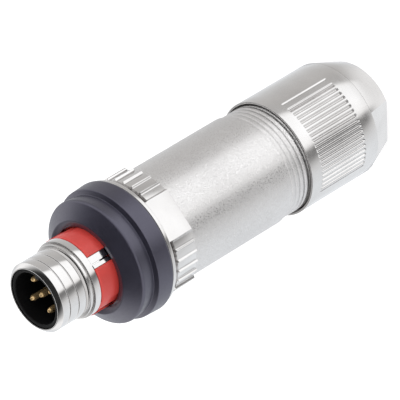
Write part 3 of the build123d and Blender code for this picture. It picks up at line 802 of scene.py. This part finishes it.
class PLUG_OT_cap(Operator):
    """Makes the cap nut: ribbed band, tapered end with two flats, cable entry."""

    bl_idname = "plug.cap"
    bl_label = "Cap Nut"

    def execute(self, context):
        part = sizes()
        top = cap_high.z
        thread_end, chamber_low, floor = 8.9 * MM, 5.8 * MM, 2.6 * MM
        chamber, throat = 8.4 * MM, 7.0 * MM
        entry_radius = part.cap_bore + 0.25 * MM
        rib_end, rib_start = part.rib_end, part.rib_start
        front_rows = (rib_end + SEAM, rib_end, rib_end - 0.3 * MM)
        rear_rows = (rib_start + 0.2 * MM, rib_start, rib_start - SEAM)
        outline = [(part.cap_bore, top - 0.7 * MM), (entry_radius, top - 0.4 * MM), (entry_radius, top)]
        outline += [(part.cap_radius, height) for height in (top, *front_rows, *rear_rows, part.cap_taper)]
        outline += [
            (throat, part.cap_taper),
            (throat, chamber_low),
            (chamber, chamber_low),
            (chamber, thread_end),
            (part.cap_bore, thread_end),
        ]
        band = turned(outline, part.knurl_steps)
        pitch, group_half, groove_half = 5, 45, degrees(part.rib_half_width)
        single_places, single_half = (47.25, 55.25), 1.1

        def groove(turn):
            away = (turn - degrees(part.rib_angle) + 90) % 180 - 90
            if abs(away) < group_half:
                share = abs((away + pitch / 2) % pitch - pitch / 2) / groove_half
                depth = part.rib_depth
            else:
                share = min(abs(away - place) for place in single_places) / single_half
                depth = part.rib_depth / 2
            return part.cap_radius - depth * (1 - share**2) if share < 1 else None

        press_in(band, part.cap_radius, rib_start + CLEAR, rib_end - CLEAR, groove)
        soften(band, part.edge_break, 2)
        end_height = 0.6 * MM
        slope = (part.cap_radius - part.cap_end) / (part.cap_taper - end_height)
        end = [
            (part.cap_entry, 0.0),
            (part.cap_end - end_height * slope, 0.0),
            (part.cap_radius, part.cap_taper),
            (throat, part.cap_taper),
            (throat, floor),
            (part.cap_entry, floor),
        ]
        taper = turned(end, part.knurl_steps, rounds=[((1,), 0.35 * MM), ((0,), 0.2 * MM)])
        for half_turn in range(2):
            self.cut_flat(taper, part, slope, part.flat_angle + half_turn * pi)
        soften(taper, part.edge_break, 2, 18.0)
        finish_piece(merged(band, taper), "ribbed_cap", nickel_material(), "cap", "nickel", "cap_nut")
        return {"FINISHED"}

    @staticmethod
    def cut_flat(mesh, part, slope, turn):
        """Cuts one wrench flat that leans with the taper, and closes the cut."""
        narrow = cos(radians(30))
        lean = slope * narrow
        outward = Vector((cos(turn), sin(turn), -lean)).normalized()
        middle = Vector((cos(turn), sin(turn), 0)) * part.cap_radius * narrow
        middle.z = part.cap_taper
        cut = bmesh.ops.bisect_plane(
            mesh,
            geom=mesh.verts[:] + mesh.edges[:] + mesh.faces[:],
            plane_co=middle,
            plane_no=outward,
            dist=1e-7,
            clear_outer=True,
        )
        rim = [item for item in cut["geom_cut"] if isinstance(item, bmesh.types.BMEdge)]
        bmesh.ops.holes_fill(mesh, edges=rim, sides=0)
        bmesh.ops.recalc_face_normals(mesh, faces=mesh.faces)


class PLUG_OT_insert(Operator):
    """Makes the black contact insert: cup, coding key and a boss round each contact."""

    bl_idname = "plug.insert"
    bl_label = "Contact Insert"

    def execute(self, context):
        part = sizes()
        top = carrier_high.z
        floor = sleeve_high.z - part.cup_depth
        body_radius, body_top = part.barrel_bore - CLEAR, grip_low.z - 1.3 * MM
        neck_radius, neck_top = 7.0 * MM, shell_high.z
        outline = [
            (0.0, carrier_low.z),
            (body_radius, carrier_low.z),
            (body_radius, body_top),
            (neck_radius, body_top),
            (neck_radius, neck_top),
            (part.insert_radius, neck_top),
            (part.insert_radius, top),
            (part.cup_radius, top),
            (part.cup_radius, floor),
            (0.0, floor),
        ]
        cup = turned(outline, part.turn_steps)
        soften(cup, part.edge_break * 1.2, 2)
        key_low, key_high = floor - FACE_GAP, top - 0.15 * MM
        key_inner, key_outer = part.cup_radius - part.key_height, part.cup_radius + 0.2 * MM
        side = [(key_inner, key_low), (key_outer, key_low), (key_outer, key_high), (key_inner, key_high)]
        key = slab(side, -part.key_width / 2, part.key_width, part.key_angle)
        soften(key, 0.08 * MM, 3)
        shells = [cup, key]
        hole, boss_top = part.pin_radius + 0.03 * MM, floor + 0.3 * MM
        boss_outline = [
            (hole, floor - CLEAR),
            (part.pin_radius + 0.45 * MM, floor - CLEAR),
            (part.pin_radius + 0.35 * MM, boss_top),
            (hole, boss_top),
        ]
        for place in contact_places(part):
            boss = turned(boss_outline, 32)
            bmesh.ops.translate(boss, vec=place, verts=boss.verts)
            shells.append(boss)
        material = moulded_plastic("insert_plastic", finishes().insert, 0.5, 3e-6, lift=0.6)
        shader_of(material).inputs["Specular IOR Level"].default_value = 0.2
        insert = merged(*shells)
        finish_piece(insert, "contact_insert", material, "housing", "insert_plastic", "contact_carrier")
        return {"FINISHED"}


def contact_places(part):
    """Where the five contacts stand: one on the axis and four round it."""
    places = [Vector((0, 0, 0))]
    for quarter in range(4):
        turn = part.pin_angle + quarter * pi / 2
        places.append(Vector((cos(turn), sin(turn), 0)) * part.pin_circle)
    return places


class PLUG_OT_contacts(Operator):
    """Makes the five gold contacts with their rounded tips."""

    bl_idname = "plug.contacts"
    bl_label = "Contacts"

    def execute(self, context):
        part = sizes()
        material = gold_material()
        cup_outer, cup_inner, cup_length = 1.15 * MM, 0.7 * MM, 4.6 * MM
        step = carrier_low.z - SNUG
        for number, place in enumerate(contact_places(part), start=1):
            low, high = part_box(f"contact_pin_{number}")
            outline = [
                (0.0, high.z),
                (0.22 * MM, high.z),
                (part.pin_radius, high.z - 0.42 * MM),
                (part.pin_radius, step),
                (cup_outer, step),
                (cup_outer, low.z),
                (cup_inner, low.z),
                (cup_inner, low.z + cup_length),
                (0.0, low.z + cup_length),
            ]
            pin = turned(outline, 48, rounds=[((2,), 0.2 * MM), ((1,), 0.1 * MM)])
            soften(pin, 0.03 * MM, 2)
            bmesh.ops.translate(pin, vec=place, verts=pin.verts)
            finish_piece(pin, f"contact_{number}", material, "housing", "gold", f"contact_pin_{number}")
        return {"FINISHED"}


class PLUG_OT_inner_parts(Operator):
    """Makes the ribbed cable grommet and gives the inner pieces their finishes."""

    bl_idname = "plug.inner_parts"
    bl_label = "Inner Parts"

    def execute(self, context):
        look = finishes()
        rubber = moulded_plastic("seal_rubber", look.rubber, 0.62, 5e-6, 3000.0, 1.6)
        grey = moulded_plastic("grey_plastic", look.grey, 0.45, 5e-6, 4200.0, 1.2)
        pale = moulded_plastic("slip_plastic", (0.72, 0.71, 0.68), 0.35, 2e-6, 3000.0, 1.05)
        shade = [tone * 0.85 for tone in look.steel]
        steel = plated_metal("spring_steel", look.steel, shade, 0.3, 4e-6, 300.0)
        screws = [f"terminal_screw_{number}" for number in range(1, 6)]
        wanted = (
            (steel, ["snap_ring", "stop_ring", "shield_ring", *screws]),
            (pale, ["slip_washer"]),
            (rubber, ["carrier_seal"]),
            (grey, ["terminal_block", "clamp_cage", "thrust_ring"]),
        )
        for material, names in wanted:
            for name in names:
                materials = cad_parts[name].data.materials
                materials.clear()
                materials.append(material)
        lips = 4
        bore, valley = 3.9 * MM, 4.4 * MM
        step = (seal_high.z - seal_low.z) / lips
        outline = [(seal_high.x, seal_low.z), (seal_high.x, seal_high.z)]
        for lip in reversed(range(lips)):
            low = seal_low.z + lip * step
            places = ((valley, 0.98), (bore, 0.62), (bore, 0.38), (valley, 0.02))
            outline += [(radius, low + step * share) for radius, share in places]
        grommet = turned(outline, 96)
        soften(grommet, 0.08 * MM, 2, 20.0)
        finish_piece(grommet, "cable_grommet", rubber, "housing", "rubber", "cable_seal")
        return {"FINISHED"}


# The cards round the plug that gloss finds: direction in degrees, share of the palest, warmth
CARDS = (
    (-180, 0.70, -0.8), (-160, 0.65, -0.5), (-146, 0.56, 0.0), (-138, 0.42, 0.1),
    (-130, 0.24, 0.2), (-122, 0.17, 0.3), (-115, 0.20, 0.3), (-109, 0.74, 0.2),
    (-103, 0.92, 0.0), (-80, 1.00, -0.2), (-46, 0.98, -0.2), (-38, 0.92, 0.0),
    (-31, 0.42, 0.3), (-14, 0.41, 0.5), (0, 0.43, 0.6), (20, 0.45, 0.4),
    (40, 0.50, 0.0), (60, 0.58, -0.5), (80, 0.66, -0.8), (100, 0.67, -0.8),
    (120, 0.67, -0.9), (160, 0.72, -0.9),
)


def light_path(tree, kind):
    """1 for rays of the kind, and 0 for the others."""
    return tree.nodes.new("ShaderNodeLightPath").outputs[kind]


def floor_material(studio):
    """A matt pale floor that the camera sees white."""
    material, tree, matt, _ = blank_material("pale_floor", "ShaderNodeBsdfDiffuse")
    filled(tree, matt, {"Color": (*neutral(studio.floor_level), 1)})
    surface = matt.outputs["BSDF"].links[0].to_socket
    glow = spread(tree, light_path(tree, "Is Camera Ray"), 0, FLOOR_GLOW, 0, 1)
    light = added(tree, "ShaderNodeEmission", {"Strength": glow})
    sum_of = {0: matt.outputs["BSDF"], 1: light.outputs["Emission"]}
    tree.links.new(added(tree, "ShaderNodeAddShader", sum_of).outputs["Shader"], surface)
    return material


def card_colours(tree, way, level):
    """The colour of the card that lies in each direction round the plug."""
    around = added(tree, "ShaderNodeTexGradient", {"Vector": way})
    around.gradient_type = "RADIAL"
    ramp = added(tree, "ShaderNodeValToRGB", {"Fac": around.outputs["Fac"]})
    stops = ramp.color_ramp.elements
    stops.remove(stops[-1])
    for index, (turn, share, warmth) in enumerate(CARDS):
        spot = turn / 360 + 0.5
        stop = stops.new(spot) if index else stops[0]
        stop.position = spot
        tint = 0.035 * warmth
        shade = share * level
        stop.color = (shade * (1 + tint), shade, shade * (1 - tint), 1)
    return ramp.outputs["Color"]


def by_height(tree, height, start, end, low, high):
    """Blends from the low colour to the high one between two heights of a direction."""
    share = spread(tree, height, 0, 1, start, end)
    share.node.interpolation_type = "SMOOTHSTEP"
    return mixed(tree, share, low, high)


def neutral(level):
    """A neutral colour."""
    return (level, level, level)


def soft_world(studio):
    """White for the camera, even for matt surfaces, and cards and a dark ceiling for gloss."""
    world = bpy.data.worlds.new("soft_world")
    world.use_nodes = True
    tree = world.node_tree
    way = tree.nodes.new("ShaderNodeTexCoord").outputs["Generated"]
    height = added(tree, "ShaderNodeSeparateXYZ", {"Vector": way}).outputs["Z"]
    cards = card_colours(tree, way, studio.cards)
    lower = by_height(tree, height, -0.95, -0.75, neutral(studio.below), cards)
    middle = by_height(tree, height, -0.12, 0.18, lower, neutral(studio.horizon))
    gloss = by_height(tree, height, 0.3, 0.76, middle, neutral(studio.ceiling))
    seen = mixed(tree, light_path(tree, "Is Glossy Ray"), neutral(studio.soft_level), gloss)
    seen = mixed(tree, light_path(tree, "Is Camera Ray"), seen, neutral(1.0))
    tree.links.new(seen, tree.nodes["Background"].inputs["Color"])
    return world


def soft_lamp(name, place, aim, size, power):
    """A square soft lamp that points at a place."""
    data = bpy.data.lights.new(name, "AREA")
    data.shape = "SQUARE"
    data.size = size
    data.energy = power
    lamp = bpy.data.objects.new(name, data)
    lamp.location = place
    lamp.rotation_euler = (Vector(aim) - Vector(place)).to_track_quat("-Z", "Y").to_euler()
    lamp.visible_glossy = False
    bpy.context.scene.collection.objects.link(lamp)


class PLUG_OT_stage(Operator):
    """Sets the camera, the pale floor, the soft lamps and the surroundings."""

    bl_idname = "plug.stage"
    bl_label = "Studio"

    def execute(self, context):
        studio = context.scene.plug_studio
        self.camera(context, studio)
        mesh = bmesh.new()
        bmesh.ops.create_grid(mesh, x_segments=1, y_segments=1, size=FLOOR_HALF)
        floor = new_object(mesh, "floor", floor_material(studio))
        floor.location.z = frame_low.z
        floor.visible_glossy = False
        aim = (0, 0, frame_high.z / 2)
        soft_lamp("key_lamp", (0.45, -0.35, 0.5), aim, 0.5, 1.5)
        soft_lamp("fill_lamp", (-0.5, -0.4, 0.4), aim, 0.6, 0.9)
        soft_lamp("top_lamp", (0.0, 0.1, 0.8), aim, 0.7, 1.2)
        context.scene.world = soft_world(studio)
        context.scene.view_settings.view_transform = "Standard"
        return {"FINISHED"}

    @staticmethod
    def camera(context, studio):
        """Places the camera so that the rim lies where the settings say."""
        data = bpy.data.cameras.new("camera")
        data.lens = studio.lens
        data.clip_start = 0.05
        data.clip_end = 20.0
        camera = bpy.data.objects.new("camera", data)
        context.scene.collection.objects.link(camera)
        tilt = Matrix.Rotation(pi / 2 - studio.elevation, 4, "X")
        turn = tilt @ Matrix.Rotation(studio.roll, 4, "Z")
        rim = Vector((0, 0, frame_high.z))
        offset = turn.to_3x3() @ Vector((-studio.side, -studio.drop, -studio.distance))
        turn.translation = rim - offset
        camera.matrix_world = turn
        context.scene.camera = camera


class PLUG_PT_panel(Panel):
    """Lists the plug's pieces and settings."""

    bl_idname = "PLUG_PT_panel"
    bl_label = "Cable Plug"
    bl_space_type = "VIEW_3D"
    bl_region_type = "UI"
    bl_category = "Plug"

    def draw(self, context):
        layout = self.layout
        for operator in OPERATORS:
            layout.operator(operator.bl_idname)
        for settings in SETTINGS:
            group = getattr(context.scene, settings)
            box = layout.box()
            for name in group.bl_rna.properties.keys():
                if name not in ("rna_type", "name"):
                    box.prop(group, name)


OPERATORS = (
    PLUG_OT_sleeve,
    PLUG_OT_collar,
    PLUG_OT_lock_ring,
    PLUG_OT_grip,
    PLUG_OT_barrel,
    PLUG_OT_cap,
    PLUG_OT_insert,
    PLUG_OT_contacts,
    PLUG_OT_inner_parts,
    PLUG_OT_stage,
)
SETTINGS = {"plug_finishes": PlugFinishes, "plug_studio": StudioSettings, "plug_sizes": PlugSizes}
CLASSES = (*SETTINGS.values(), *OPERATORS, PLUG_PT_panel)


def register():
    """Registers the classes and hangs the settings on the scene."""
    for item in CLASSES:
        bpy.utils.register_class(item)
    for name, group in SETTINGS.items():
        setattr(bpy.types.Scene, name, PointerProperty(type=group))


def unregister():
    """Takes everything off again."""
    for name in SETTINGS:
        delattr(bpy.types.Scene, name)
    for item in reversed(CLASSES):
        bpy.utils.unregister_class(item)


def main():
    """Makes every piece."""
    register()
    for item in OPERATORS:
        getattr(bpy.ops.plug, item.bl_idname.split(".")[1])()


if __name__ == "__main__":
    main()
